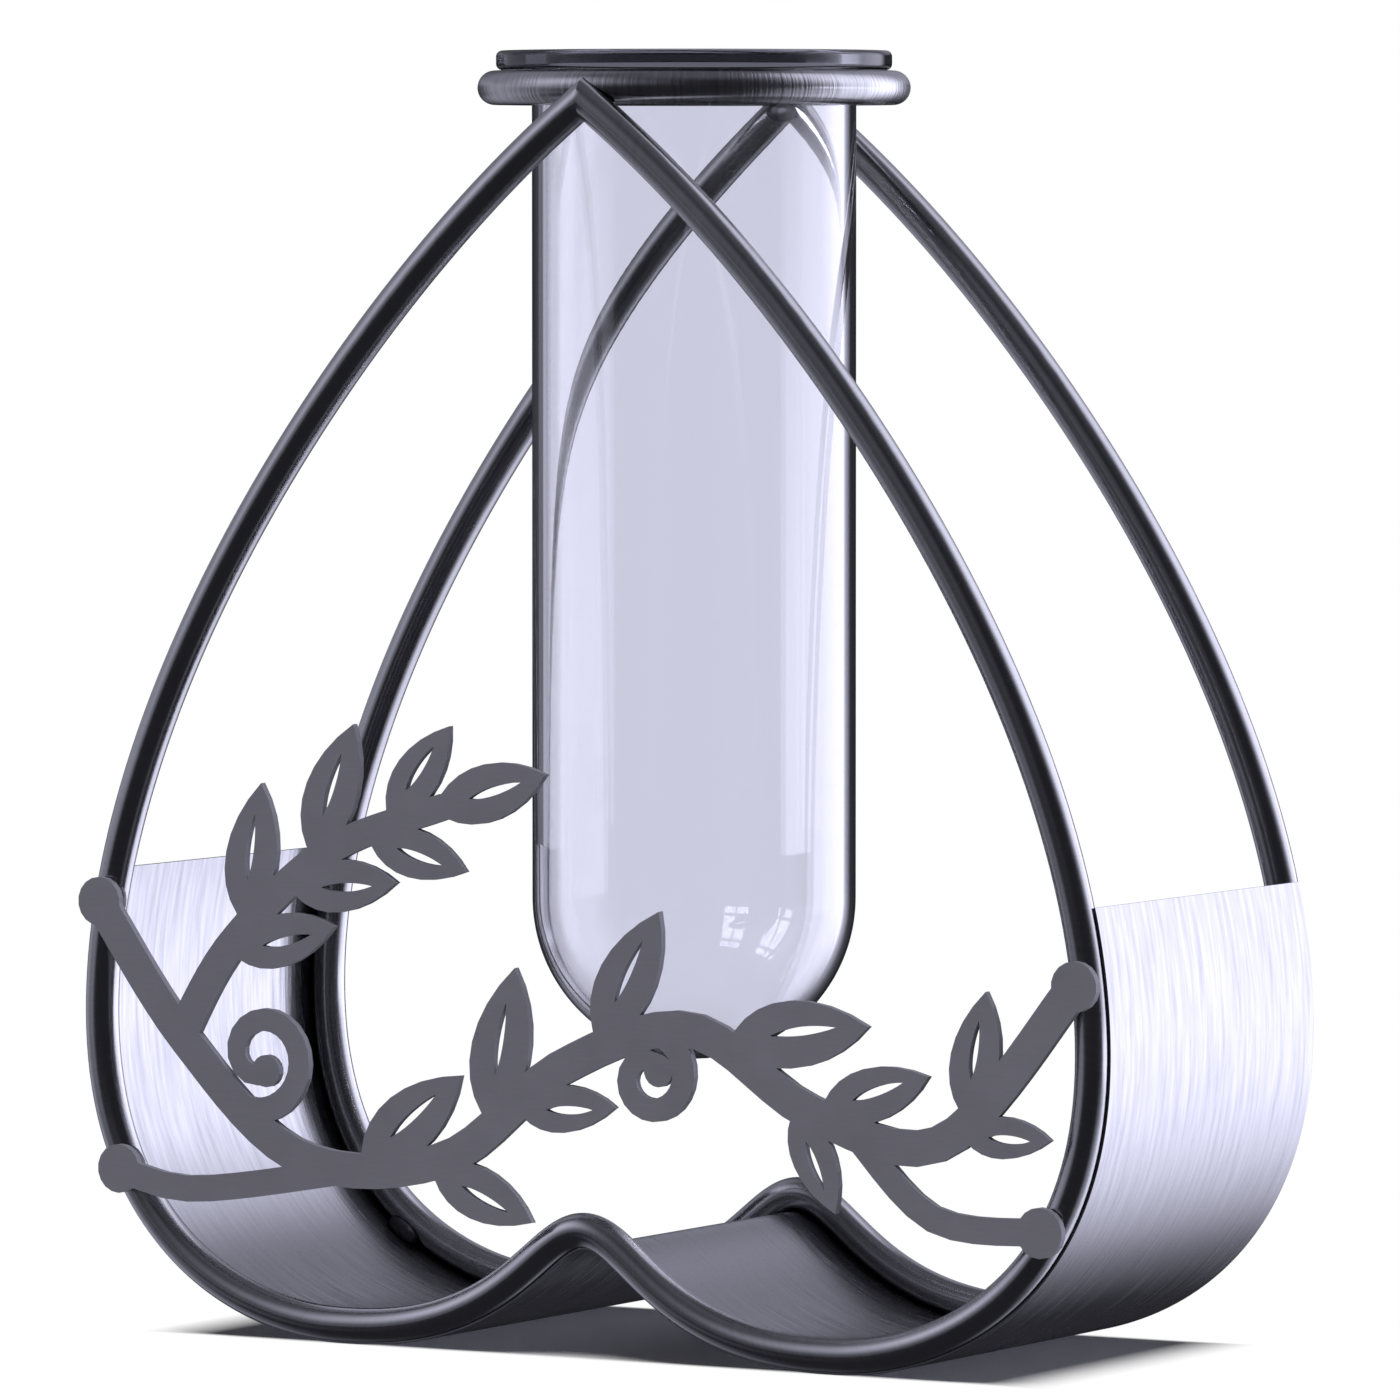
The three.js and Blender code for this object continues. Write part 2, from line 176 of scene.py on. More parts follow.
class VaseSizes(bpy.types.PropertyGroup):
    """Sizes of the pieces: the CAD model's, and the small ones that only the looks need."""

    rod_radius: length("Rod radius", 0.001925, "Radius of the hoops' round rod")
    ring_rod_radius: length("Ring rod radius", 0.00195, "Radius of the ring's round rod")
    fit_gap: length("Fit gap", 0.00025, "Gap between a welded piece and what carries it")
    settle: length("Settle", 0.00025, "How far the hoops are drawn out onto the band, to close the gap")
    settle_run: length("Settle run", 0.06, "Height above the band over which the hoops come out to it")
    hoop_plane: length("Hoop plane", 0.0245, "Distance of a hoop's centre plane from the tube's axis")
    apex_height: length("Apex height", 0.1406, "Height of the hoop's centreline at its apex")
    apex_slope: angle("Apex slope", 36.4, "Slope of the legs where they meet at the apex")
    apex_reach: length("Apex reach", 0.0384, "Handle of the curve that leaves the apex")
    widest_x: length("Widest point", 0.06385, "Half width of the hoop's centreline")
    widest_height: length("Widest height", 0.0365, "Height at which the hoop is widest")
    widest_reach_up: length("Reach up", 0.0359, "Handle above the widest point")
    widest_reach_down: length("Reach down", 0.0266, "Handle below the widest point")
    lobe_x: length("Lobe middle", 0.0314, "Distance of a lobe's lowest point from the middle")
    lobe_reach_out: length("Lobe outer reach", 0.012, "Handle on the outer side of a lobe's bottom")
    lobe_reach_in: length("Lobe inner reach", 0.0212, "Handle on the inner side of a lobe's bottom")
    lobe_flat: length("Lobe flat", 0.0012, "Level run under a lobe")
    cleft_height: length("Cleft height", 0.01472, "Height of the hoop's centreline at the cleft")
    cleft_reach: length("Cleft reach", 0.0063, "Handle beside the cleft")
    band_top: length("Band top", 0.05255, "Height of the band's top edges")
    band_thickness: length("Band thickness", 0.0003, "Thickness of the band's sheet")
    band_edge: length("Band edge", 0.00005, "Rounding of the band's edges")
    ring_radius: length("Ring radius", 0.02255, "Radius of the ring's centreline")
    ring_height: length("Ring height", 0.1420, "Height of the ring's centreline")
    tube_radius: length("Tube radius", 0.01835, "Outer radius of the glass tube")
    tube_wall: length("Tube wall", 0.0016, "Wall thickness of the glass tube")
    tube_length: length("Tube length", 0.11425, "Length of the tube from rim to bottom")
    rim_radius: length("Rim radius", 0.0224, "Outer radius of the rim")
    rim_thickness: length("Rim thickness", 0.0022, "Thickness of the rim")
    rim_corner: length("Rim corner", 0.0007, "Rounding of the rim's outer corners")
    mouth_corner: length("Mouth corner", 0.0006, "Rounding of the mouth's inner corner")
    seat_gap: length("Seat gap", 0.00005, "Gap between the rim and the ring that it rests on")
    plate_edge: length("Plate edge", 0.00009, "Bevel along the vine plate's edges")
    bead_grain: length("Bead grain", 0.00012, "Size of the grid that a weld bead is rounded on")
    bead_growth: length("Bead growth", 0.00026, "How far a weld bead is grown to meet what it joins")
    rod_sides: IntProperty(name="Rod sides", description="Steps round a rod", default=48, min=8)
    turn_steps: IntProperty(name="Turn steps", description="Steps round the tube", default=144, min=16)


class VaseColours(bpy.types.PropertyGroup):
    """Colours of the finishes, as linear values."""

    rod_dark: colour("Rod, dark", (0.40, 0.40, 0.40), "Darker tone of the rods' steel")
    rod_light: colour("Rod, light", (0.46, 0.46, 0.46), "Lighter tone of the rods' steel")
    ring_dark: colour("Ring, dark", (0.33, 0.33, 0.33), "Darker brush lines of the ring")
    ring_light: colour("Ring, light", (0.54, 0.54, 0.54), "Lighter brush lines of the ring")
    band_dark: colour("Band, dark", (0.31, 0.31, 0.315), "Darker streaks of the band")
    band_light: colour("Band, light", (0.39, 0.39, 0.395), "Lighter streaks of the band")
    plate_dark: colour("Plate, dark", (0.166, 0.163, 0.199), "Darker tone of the vine plate")
    plate_light: colour("Plate, light", (0.201, 0.198, 0.239), "Lighter tone of the vine plate")
    weld_dark: colour("Weld, dark", (0.06, 0.058, 0.064), "Darker tone of the weld beads")
    weld_light: colour("Weld, light", (0.16, 0.155, 0.165), "Lighter tone of the weld beads")
    glass_tint: colour("Glass tint", (0.93, 0.93, 0.93), "Tint of the glass surface")
    glass_body: colour("Glass body", (0.56, 0.56, 0.56), "Colour that the glass lets through")
    # Painted shade: the rim's glass is tinted dark to stand in for the dark refraction seen through it
    rim_painted_shade: colour("Rim, painted shade", (0.16, 0.16, 0.17), "Darker tint painted on the rim's glass as shade")
    floor: colour("Floor", (0.80, 0.80, 0.80), "Colour of the floor")


class StageSettings(bpy.types.PropertyGroup):
    """Camera and light of the studio."""

    camera_place: FloatVectorProperty(
        name="Camera place",
        description="Where the camera stands",
        default=(0.60796, -1.05423, 0.1338),
        size=3,
        unit="LENGTH",
        subtype="TRANSLATION",
    )
    camera_turn: angle("Camera turn", 29.94, "Angle of the camera round the vase, from the front")
    camera_tilt: angle("Camera tilt", 2.875, "Angle of the camera below level")
    camera_lens: FloatProperty(
        name="Camera lens",
        description="Focal length in mm on a 36 mm sensor",
        default=276.3,
    )
    sky_level: FloatProperty(name="Sky level", description="Soft light from all round", default=0.08)
    key_level: FloatProperty(name="Key level", description="Soft light from above", default=3.3)
    key_tilt: angle("Key tilt", 18, "Angle of the key light from straight above")
    key_turn: angle("Key turn", 40, "Angle of the key light round the vase, from the front")
    key_width: angle("Key width", 34, "Angle that the key light fills")


def sizes():
    """Sizes set on the scene."""
    return bpy.context.scene.vase_sizes


def colours():
    """Colours set on the scene."""
    return bpy.context.scene.vase_colours


def rim_underside():
    """Height of the rim's underside, which rests on the ring."""
    s = sizes()
    return s.ring_height + s.ring_rod_radius + s.seat_gap


def leg_direction():
    """Direction in which the right leg leaves the apex."""
    slope = sizes().apex_slope
    return Vector((math.cos(slope), 0, -math.sin(slope)))


def deselect_all():
    """Leaves edit mode and clears the selection."""
    if bpy.context.mode != "OBJECT":
        bpy.ops.object.mode_set(mode="OBJECT")
    bpy.ops.object.select_all(action="DESELECT")


def make_active(piece):
    """Selects one piece alone."""
    deselect_all()
    piece.select_set(True)
    bpy.context.view_layer.objects.active = piece


def edit(piece):
    """Opens a piece in edit mode with all of it selected."""
    make_active(piece)
    bpy.ops.object.mode_set(mode="EDIT")
    bpy.ops.mesh.select_all(action="SELECT")


def draw_line(name, points):
    """Merges a small plane to one vertex and extrudes that from point to point."""
    deselect_all()
    bpy.ops.mesh.primitive_plane_add(size=0.01)
    piece = bpy.context.object
    piece.name = piece.data.name = name
    edit(piece)
    bpy.ops.mesh.merge(type="CENTER")
    bpy.ops.transform.translate(value=points[0])
    for start, end in zip(points, points[1:]):
        bpy.ops.mesh.extrude_region_move(TRANSFORM_OT_translate={"value": end - start})
    deselect_all()
    return piece


def add_modifier(piece, kind, **settings):
    """Adds a modifier with the given settings and applies it."""
    make_active(piece)
    bpy.ops.object.modifier_add(type=kind)
    modifier = piece.modifiers[-1]
    for key, value in settings.items():
        setattr(modifier, key, value)
    bpy.ops.object.modifier_apply(modifier=modifier.name)


def break_edges(piece, width):
    """Bevels a piece's sharp edges."""
    limit = math.radians(50)
    add_modifier(piece, "BEVEL", width=width, segments=2, limit_method="ANGLE", angle_limit=limit)


def close_mesh(piece):
    """Merges doubles and points every face outward."""
    edit(piece)
    bpy.ops.mesh.remove_doubles(threshold=MERGE_DISTANCE)
    bpy.ops.mesh.select_all(action="SELECT")
    bpy.ops.mesh.normals_make_consistent(inside=False)
    deselect_all()


def split_faces(piece):
    """Splits every face into well-shaped triangles and takes out those of no area."""
    edit(piece)
    bpy.ops.mesh.quads_convert_to_tris(quad_method="BEAUTY", ngon_method="BEAUTY")
    bpy.ops.mesh.select_all(action="SELECT")
    bpy.ops.mesh.dissolve_degenerate(threshold=MERGE_DISTANCE)
    deselect_all()


def mirror(piece):
    """Mirrors the right half of a piece to the left and closes it."""
    add_modifier(piece, "MIRROR", use_clip=True, use_mirror_merge=True, merge_threshold=MIRROR_MERGE)
    close_mesh(piece)


def spin(piece):
    """Turns a section once round the tube's axis and closes it."""
    edit(piece)
    bpy.ops.mesh.spin(steps=sizes().turn_steps, angle=FULL_TURN, center=(0, 0, 0), axis=Z_AXIS)
    close_mesh(piece)


def copy_of(cad_node, name):
    """Copy of a CAD node's mesh with its doubles merged."""
    make_active(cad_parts[cad_node])
    bpy.ops.object.duplicate()
    piece = bpy.context.object
    piece.name = piece.data.name = name
    piece.parent = None
    for key in list(piece.keys()):
        if key.startswith("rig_"):
            del piece[key]
    close_mesh(piece)
    return piece


def shade(piece, degrees):
    """Shades a piece smooth across soft angles, with the large faces true."""
    make_active(piece)
    bpy.ops.object.shade_smooth_by_angle(angle=math.radians(degrees))
    add_modifier(piece, "WEIGHTED_NORMAL", keep_sharp=True)
    deselect_all()


def dress(piece, material, body, slot, *nodes):
    """Gives a piece its finish, hides the CAD nodes that it stands for and hangs it on its body."""
    piece.data.materials.clear()
    piece.data.materials.append(material)
    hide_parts(*nodes)
    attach(piece, body)


def node(tree, kind, inputs=None, **settings):
    """Adds a shader node; an input is a value or a socket to link."""
    made = tree.nodes.new(kind)
    for key, value in settings.items():
        setattr(made, key, value)
    for key, value in (inputs or {}).items():
        if isinstance(value, bpy.types.NodeSocket):
            tree.links.new(value, made.inputs[key])
        else:
            made.inputs[key].default_value = value
    return made


def maths(tree, operation, *values):
    """Maths node's result."""
    return node(tree, "ShaderNodeMath", dict(enumerate(values)), operation=operation).outputs[0]


def times(tree, value, factor):
    """Value times a factor."""
    return maths(tree, "MULTIPLY", value, factor)


def blend(tree, first, second, share):
    """First value by its share plus the second by the rest."""
    return maths(tree, "ADD", times(tree, first, share), times(tree, second, 1 - share))


def noise(tree, vector, scale=1.0, detail=2.0, roughness=0.5):
    """Noise factor on the given coordinates."""
    inputs = {"Vector": vector, "Scale": scale, "Detail": detail, "Roughness": roughness}
    return node(tree, "ShaderNodeTexNoise", inputs).outputs["Fac"]


def spread(tree, value, low, high, start=0.3, end=0.7):
    """Maps a factor onto a range."""
    inputs = {"Value": value, "From Min": start, "From Max": end, "To Min": low, "To Max": high}
    return node(tree, "ShaderNodeMapRange", inputs).outputs[0]


def two_tone(tree, factor, dark, light, start=0.3, end=0.7):
    """Colour that runs from dark to light with a factor."""
    ramp = node(tree, "ShaderNodeValToRGB", {"Fac": factor})
    for stop, place, tone in zip(ramp.color_ramp.elements, (start, end), (dark, light)):
        stop.position = place
        stop.color = (*tone, 1)
    return ramp.outputs["Color"]


def new_tree(name):
    """New material's node tree and its output node."""
    material = bpy.data.materials.new(name)
    material.use_nodes = True
    material.node_tree.nodes.clear()
    output = material.node_tree.nodes.new("ShaderNodeOutputMaterial")
    return material, material.node_tree, output


def object_axes(tree):
    """Object coordinates: the whole vector, then x, y and z."""
    whole = node(tree, "ShaderNodeTexCoord").outputs["Object"]
    apart = node(tree, "ShaderNodeSeparateXYZ", {"Vector": whole})
    return whole, *apart.outputs


def joined(tree, x, y, z):
    """Vector from three values."""
    return node(tree, "ShaderNodeCombineXYZ", {"X": x, "Y": y, "Z": z}).outputs[0]


def turn_about(tree, across, up, middle):
    """Angle of a point round a middle height, from straight below."""
    return maths(tree, "ARCTAN2", across, maths(tree, "SUBTRACT", middle, up))


def bump(tree, height, strength, distance):
    """Normal from a height."""
    inputs = {"Height": height, "Strength": strength, "Distance": distance}
    return node(tree, "ShaderNodeBump", inputs).outputs["Normal"]


def set_surface(tree, output, inputs):
    """Links a principled shader with the given inputs to the output."""
    shader = node(tree, "ShaderNodeBsdfPrincipled", inputs)
    tree.links.new(shader.outputs[0], output.inputs["Surface"])


def brush_tone(tree, whole, lines, detail):
    """Brush lines of a rod, and the tone that they make with a soft cloud."""
    brush = noise(tree, lines, detail=detail, roughness=0.6)
    cloud = noise(tree, whole, scale=160.0, detail=4.0)
    return brush, blend(tree, brush, cloud, 0.6)


def hoop_steel():
    """Dark satin steel with fine brush lines across the rod."""
    material, tree, output = new_tree("hoop_steel")
    whole, x, y, z = object_axes(tree)
    turn = turn_about(tree, x, z, HOOP_MIDDLE_HEIGHT)
    lines = joined(tree, times(tree, turn, 190.0), times(tree, y, 90.0), 0.0)
    brush, tone = brush_tone(tree, whole, lines, 3.0)
    set_surface(tree, output, {
        "Base Color": two_tone(tree, tone, colours().rod_dark, colours().rod_light),
        "Metallic": 1.0,
        "Roughness": spread(tree, tone, 0.18, 0.24),
        "Normal": bump(tree, brush, 0.015, 0.0001),
    })
    return material


def ring_steel():
    """The same steel with broader, deeper brush lines, which draw its lights out round the ring."""
    material, tree, output = new_tree("ring_steel")
    whole, x, y, z = object_axes(tree)
    turn = maths(tree, "ARCTAN2", y, x)
    lines = joined(tree, times(tree, turn, 60.0), times(tree, z, 90.0), 0.0)
    brush, tone = brush_tone(tree, whole, lines, 1.0)
    set_surface(tree, output, {
        "Base Color": two_tone(tree, tone, colours().ring_dark, colours().ring_light),
        "Metallic": 1.0,
        "Roughness": spread(tree, tone, 0.22, 0.28),
        "Anisotropic": 0.30,
        "Tangent": node(tree, "ShaderNodeTangent", direction_type="RADIAL", axis="Z").outputs[0],
        "Normal": bump(tree, brush, 0.42, 0.0001),
    })
    return material


def band_steel():
    """Pale steel with brush streaks along the band's length."""
    material, tree, output = new_tree("band_steel")
    x, y, z = object_axes(tree)[1:]
    turn = turn_about(tree, x, z, BAND_MIDDLE_HEIGHT)
    long_streaks = joined(tree, times(tree, turn, 5.0), times(tree, y, 1150.0), 0.0)
    fine_streaks = joined(tree, times(tree, turn, 16.0), times(tree, y, 2700.0), 0.5)
    streak = blend(tree, noise(tree, long_streaks), noise(tree, fine_streaks), 0.65)
    set_surface(tree, output, {
        "Base Color": two_tone(tree, streak, colours().band_dark, colours().band_light),
        "Metallic": 1.0,
        "Roughness": spread(tree, streak, 0.32, 0.12),
        "Normal": bump(tree, streak, 0.12, 0.0002),
    })
    return material


def plate_steel():
    """Flat grey sheet with a faint rolled grain."""
    material, tree, output = new_tree("plate_steel")
    whole, x, y, z = object_axes(tree)
    grain_lines = joined(tree, times(tree, x, 260.0), 0.0, times(tree, z, 5200.0))
    cloud = noise(tree, whole, scale=120.0, detail=5.0, roughness=0.6)
    tone = blend(tree, noise(tree, grain_lines), cloud, 0.35)
    set_surface(tree, output, {
        "Base Color": two_tone(tree, tone, colours().plate_dark, colours().plate_light),
        "Metallic": 0.15,
        "Roughness": spread(tree, tone, 0.48, 0.60),
        "Normal": bump(tree, tone, 0.05, 0.0001),
    })
    return material


def weld_steel():
    """Rippled, slightly sooty weld metal."""
    material, tree, output = new_tree("weld_steel")
    whole = object_axes(tree)[0]
    soot = noise(tree, whole, scale=900.0, detail=4.0)
    ripple = noise(tree, whole, scale=2600.0, detail=1.0)
    set_surface(tree, output, {
        "Base Color": two_tone(tree, soot, colours().weld_dark, colours().weld_light),
        "Metallic": 1.0,
        "Roughness": spread(tree, soot, 0.35, 0.60),
        "Normal": bump(tree, ripple, 0.35, 0.0002),
    })
    return material


def tube_glass():
    """Clear glass with faint drawing lines, a little darker through its thickness, and painted shade on the
    rim: a darker tint that stands in for the dark refraction there.
    """
    material, tree, output = new_tree("tube_glass")
    x, y, z = object_axes(tree)[1:]
    turn = maths(tree, "ARCTAN2", y, x)
    lines = joined(tree, times(tree, turn, 14.0), times(tree, z, 9.0), 0.0)
    drawn = noise(tree, lines, detail=3.0)
    rim_low = rim_underside()
    # Share of the rim's painted shade, which darkens the glass above the rim's underside
    rim_shade_share = spread(tree, z, 0.0, 1.0, rim_low - RIM_BLEND, rim_low + RIM_BLEND)
    set_surface(tree, output, {
        "Base Color": two_tone(tree, rim_shade_share, colours().glass_tint, colours().rim_painted_shade, 0.0, 1.0),
        "Roughness": spread(tree, drawn, 0.0, 0.004),
        "IOR": 1.47,
        "Transmission Weight": 1.0,
        "Normal": bump(tree, drawn, 0.003, 0.0005),
    })
    depth = node(tree, "ShaderNodeVolumeAbsorption", {
        "Color": (*colours().glass_body, 1),
        "Density": 15.0,
    })
    tree.links.new(depth.outputs[0], output.inputs["Volume"])
    return material


def half_hoop(steps, settle=0.0):
    """Points of the right half of the hoop's centreline from apex to cleft, and their outward normals."""
    leg_steps, side_steps, lobe_steps = steps
    s = sizes()
    lobe_height = s.rod_radius + s.fit_gap + s.band_thickness
    slope = leg_direction()
    apex = Vector((0, 0, s.apex_height))
    widest = Vector((s.widest_x, 0, s.widest_height))
    outer = Vector((s.lobe_x + s.lobe_flat / 2, 0, lobe_height))
    inner = Vector((s.lobe_x - s.lobe_flat / 2, 0, lobe_height))
    cleft = Vector((0, 0, s.cleft_height))
    leg = (apex, apex + slope * s.apex_reach, widest + Z_AXIS * s.widest_reach_up, widest)
    side = (widest, widest - Z_AXIS * s.widest_reach_down, outer + X_AXIS * s.lobe_reach_out, outer)
    lobe = (inner, inner - X_AXIS * s.lobe_reach_in, cleft + X_AXIS * s.cleft_reach, cleft)
    points = list(interpolate_bezier(*leg, leg_steps + 1))
    points += interpolate_bezier(*side, side_steps + 1)[1:]
    points += interpolate_bezier(*lobe, lobe_steps + 1)
    normals = []
    for i in range(len(points)):
        along = points[min(i + 1, len(points) - 1)] - points[max(i - 1, 0)]
        if i == 0:
            along = slope
        if i == len(points) - 1:
            along = -X_AXIS
        along = along.normalized()
        normals.append(Vector((-along.z, 0, along.x)))
    settled = []
    for point, normal in zip(points, normals):
        share = min(max((s.band_top + s.settle_run - point.z) / s.settle_run, 0), 1)
        settled.append(point + normal * (settle * share * share * (3 - 2 * share)))
    return settled, normals


class VASE_OT_hoops(bpy.types.Operator):
    """Sweeps a round rod along the heart outline, mitres it at the apex and copes it to the ring"""

    bl_idname = "vase.hoops"
    bl_label = "Hoops"

    def execute(self, context):
        s = sizes()
        points = half_hoop(HOOP_STEPS, s.settle)[0]
        # The rod runs on past the apex and the cleft, and the cut through its middle mitres it there
        past_apex = points[0] - leg_direction() * (4 * s.rod_radius)
        past_cleft = points[-1] - X_AXIS * s.rod_radius
        path = [past_apex, *points, past_cleft]
        rod = draw_line("hoop_outline", path)
        make_active(rod)
        bpy.ops.object.convert(target="CURVE")
        rod = context.object
        rod.data.bevel_depth = s.rod_radius
        rod.data.bevel_resolution = s.rod_sides // 2 - 2
        rod.data.use_fill_caps = False
        bpy.ops.object.convert(target="MESH")
        rod = context.object
        edit(rod)
        bpy.ops.mesh.bisect(plane_co=(0, 0, 0), plane_no=X_AXIS, clear_inner=True, threshold=CUT_MERGE)
        deselect_all()
        mirror(rod)
        bpy.ops.mesh.primitive_torus_add(
            major_radius=s.ring_radius,
            minor_radius=s.ring_rod_radius + s.fit_gap,
            major_segments=COPE_STEPS[0],
            minor_segments=COPE_STEPS[1],
            location=(0, 0, s.ring_height),
        )
        cope = context.object
        finish = hoop_steel()
        for name, place in (("front_hoop", -s.hoop_plane), ("rear_hoop", s.hoop_plane)):
            make_active(rod)
            bpy.ops.object.duplicate()
            hoop = context.object
            hoop.name = hoop.data.name = name + "_rod"
            bpy.ops.transform.translate(value=Y_AXIS * place)
            bpy.ops.object.transform_apply(location=True, rotation=True, scale=True)
            add_modifier(hoop, "BOOLEAN", operation="DIFFERENCE", object=cope, solver="EXACT")
            close_mesh(hoop)
            split_faces(hoop)
            shade(hoop, 30)
            dress(hoop, finish, "frame", "rod_steel", name)
        bpy.data.objects.remove(cope)
        bpy.data.objects.remove(rod)
        return {"FINISHED"}


class VASE_OT_ring(bpy.types.Operator):
    """Spins a round section into the ring that carries the tube's rim"""

    bl_idname = "vase.ring"
    bl_label = "Ring"

    def execute(self, context):
        s = sizes()
        deselect_all()
        bpy.ops.mesh.primitive_circle_add(
            vertices=s.rod_sides,
            radius=s.ring_rod_radius,
            location=(s.ring_radius, 0, s.ring_height),
            rotation=(math.pi / 2, 0, 0),
        )
        bpy.ops.object.transform_apply(location=True, rotation=True, scale=True)
        ring = context.object
        ring.name = ring.data.name = "support_ring_rod"
        spin(ring)
        shade(ring, 60)
        dress(ring, ring_steel(), "frame", "rod_steel", "support_ring")
        return {"FINISHED"}


class VASE_OT_band(bpy.types.Operator):
    """Draws the band's outline round the hoops, extrudes it to its depth and gives it its thickness"""

    bl_idname = "vase.band"
    bl_label = "Band"

    def execute(self, context):
        s = sizes()
        points, normals = half_hoop(BAND_STEPS)
        offset = s.rod_radius + s.fit_gap + s.band_thickness / 2
        line = [p + n * offset for p, n in zip(points, normals) if p.z <= s.band_top]
        line = [Vector((p.x, -s.hoop_plane, p.z)) for p in line]
        band = draw_line("base_band_sheet", line)
        edit(band)
        depth = Y_AXIS * (2 * s.hoop_plane)
        bpy.ops.mesh.extrude_region_move(TRANSFORM_OT_translate={"value": depth})
        deselect_all()
        mirror(band)
        add_modifier(band, "SOLIDIFY", thickness=s.band_thickness, offset=0.0, use_even_offset=True)
        break_edges(band, s.band_edge)
        close_mesh(band)
        shade(band, 20)
        dress(band, band_steel(), "frame", "band_steel", "base_band")
        return {"FINISHED"}


class VASE_OT_tube(bpy.types.Operator):
    """Draws the tube's section with its rim and round bottom and spins it"""

    bl_idname = "vase.tube"
    bl_label = "Glass tube"

    def execute(self, context):
        s = sizes()
        inner = s.tube_radius - s.tube_wall
        rim_low = rim_underside()
        rim_top = rim_low + s.rim_thickness
        bowl = rim_top - s.tube_length + s.tube_radius

        def arc(x, z, radius, start, end, steps):
            """Points along an arc between two angles in degrees."""
            turns = [math.radians(start + (end - start) * i / steps) for i in range(steps + 1)]
            return [Vector((x + radius * math.cos(t), 0, z + radius * math.sin(t))) for t in turns]

        corner, mouth = s.rim_corner, s.mouth_corner
        section = arc(0, bowl, s.tube_radius, -90, 0, BOWL_STEPS)
        section += [Vector((s.tube_radius, 0, rim_low))]
        section += arc(s.rim_radius - corner, rim_low + corner, corner, -90, 0, CORNER_STEPS)
        section += arc(s.rim_radius - corner, rim_top - corner, corner, 0, 90, CORNER_STEPS)
        section += arc(inner + mouth, rim_top - mouth, mouth, 90, 180, CORNER_STEPS)
        section += arc(0, bowl, inner, 0, -90, BOWL_STEPS)
        section[0].x = section[-1].x = 0
        tube = draw_line("glass_tube_body", section)
        spin(tube)
        shade(tube, 40)
        dress(tube, tube_glass(), "tube", "glass", "glass_tube")
        return {"FINISHED"}


class VASE_OT_plate(bpy.types.Operator):
    """Takes the cut vine plate over from the CAD model and breaks its edges"""

    bl_idname = "vase.plate"
    bl_label = "Vine plate"

    def execute(self, context):
        s = sizes()
        plate = copy_of("vine_plate", "vine_plate_sheet")
        edit(plate)
        bpy.ops.mesh.dissolve_limited(angle_limit=math.radians(0.5))
        deselect_all()
        break_edges(plate, s.plate_edge)
        close_mesh(plate)
        split_faces(plate)
        shade(plate, 25)
        dress(plate, plate_steel(), "frame", "plate_steel", "vine_plate")
        return {"FINISHED"}


class VASE_OT_welds(bpy.types.Operator):
    """Takes the weld beads over from the CAD model and rounds them off"""

    bl_idname = "vase.welds"
    bl_label = "Weld beads"

    def execute(self, context):
        s = sizes()
        finish = weld_steel()
        for name in sorted(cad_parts):
            if "_weld_" not in name:
                continue
            bead = copy_of(name, name + "_bead")
            add_modifier(bead, "REMESH", mode="VOXEL", voxel_size=s.bead_grain)
            add_modifier(bead, "SMOOTH", factor=0.5, iterations=4)
            add_modifier(bead, "DISPLACE", strength=s.bead_growth, mid_level=0.0)
            shade(bead, 80)
            dress(bead, finish, "frame", "weld_steel", name)
        return {"FINISHED"}


def floor_finish():
    """Pale floor with a very faint grain, plain white to the camera away from the base."""
    material, tree, output = new_tree("floor_paint")
    whole, x, y, z = object_axes(tree)
    grain = noise(tree, whole, scale=30.0, detail=3.0)
    pale = tuple(colours().floor)
    darker = tuple(FLOOR_GRAIN * c for c in pale)
    paint = node(tree, "ShaderNodeBsdfDiffuse", {"Color": two_tone(tree, grain, darker, pale)})
    white = node(tree, "ShaderNodeEmission", {"Color": (1, 1, 1, 1), "Strength": 1.0})
    past_ends = spread(tree, maths(tree, "ABSOLUTE", x), 0.0, 1.0, *WHITE_PAST_ENDS)
    past_front = spread(tree, y, 0.0, 1.0, *WHITE_PAST_FRONT)
    past_back = spread(tree, y, 0.0, 1.0, *WHITE_PAST_BACK)
    outside = maths(tree, "MAXIMUM", past_ends, maths(tree, "MAXIMUM", past_front, past_back))
    camera_sees = node(tree, "ShaderNodeLightPath").outputs["Is Camera Ray"]
    mixed = node(tree, "ShaderNodeMixShader", {
        0: times(tree, outside, camera_sees),
        1: paint.outputs[0],
        2: white.outputs[0],
    })
    tree.links.new(mixed.outputs[0], output.inputs["Surface"])
    return material


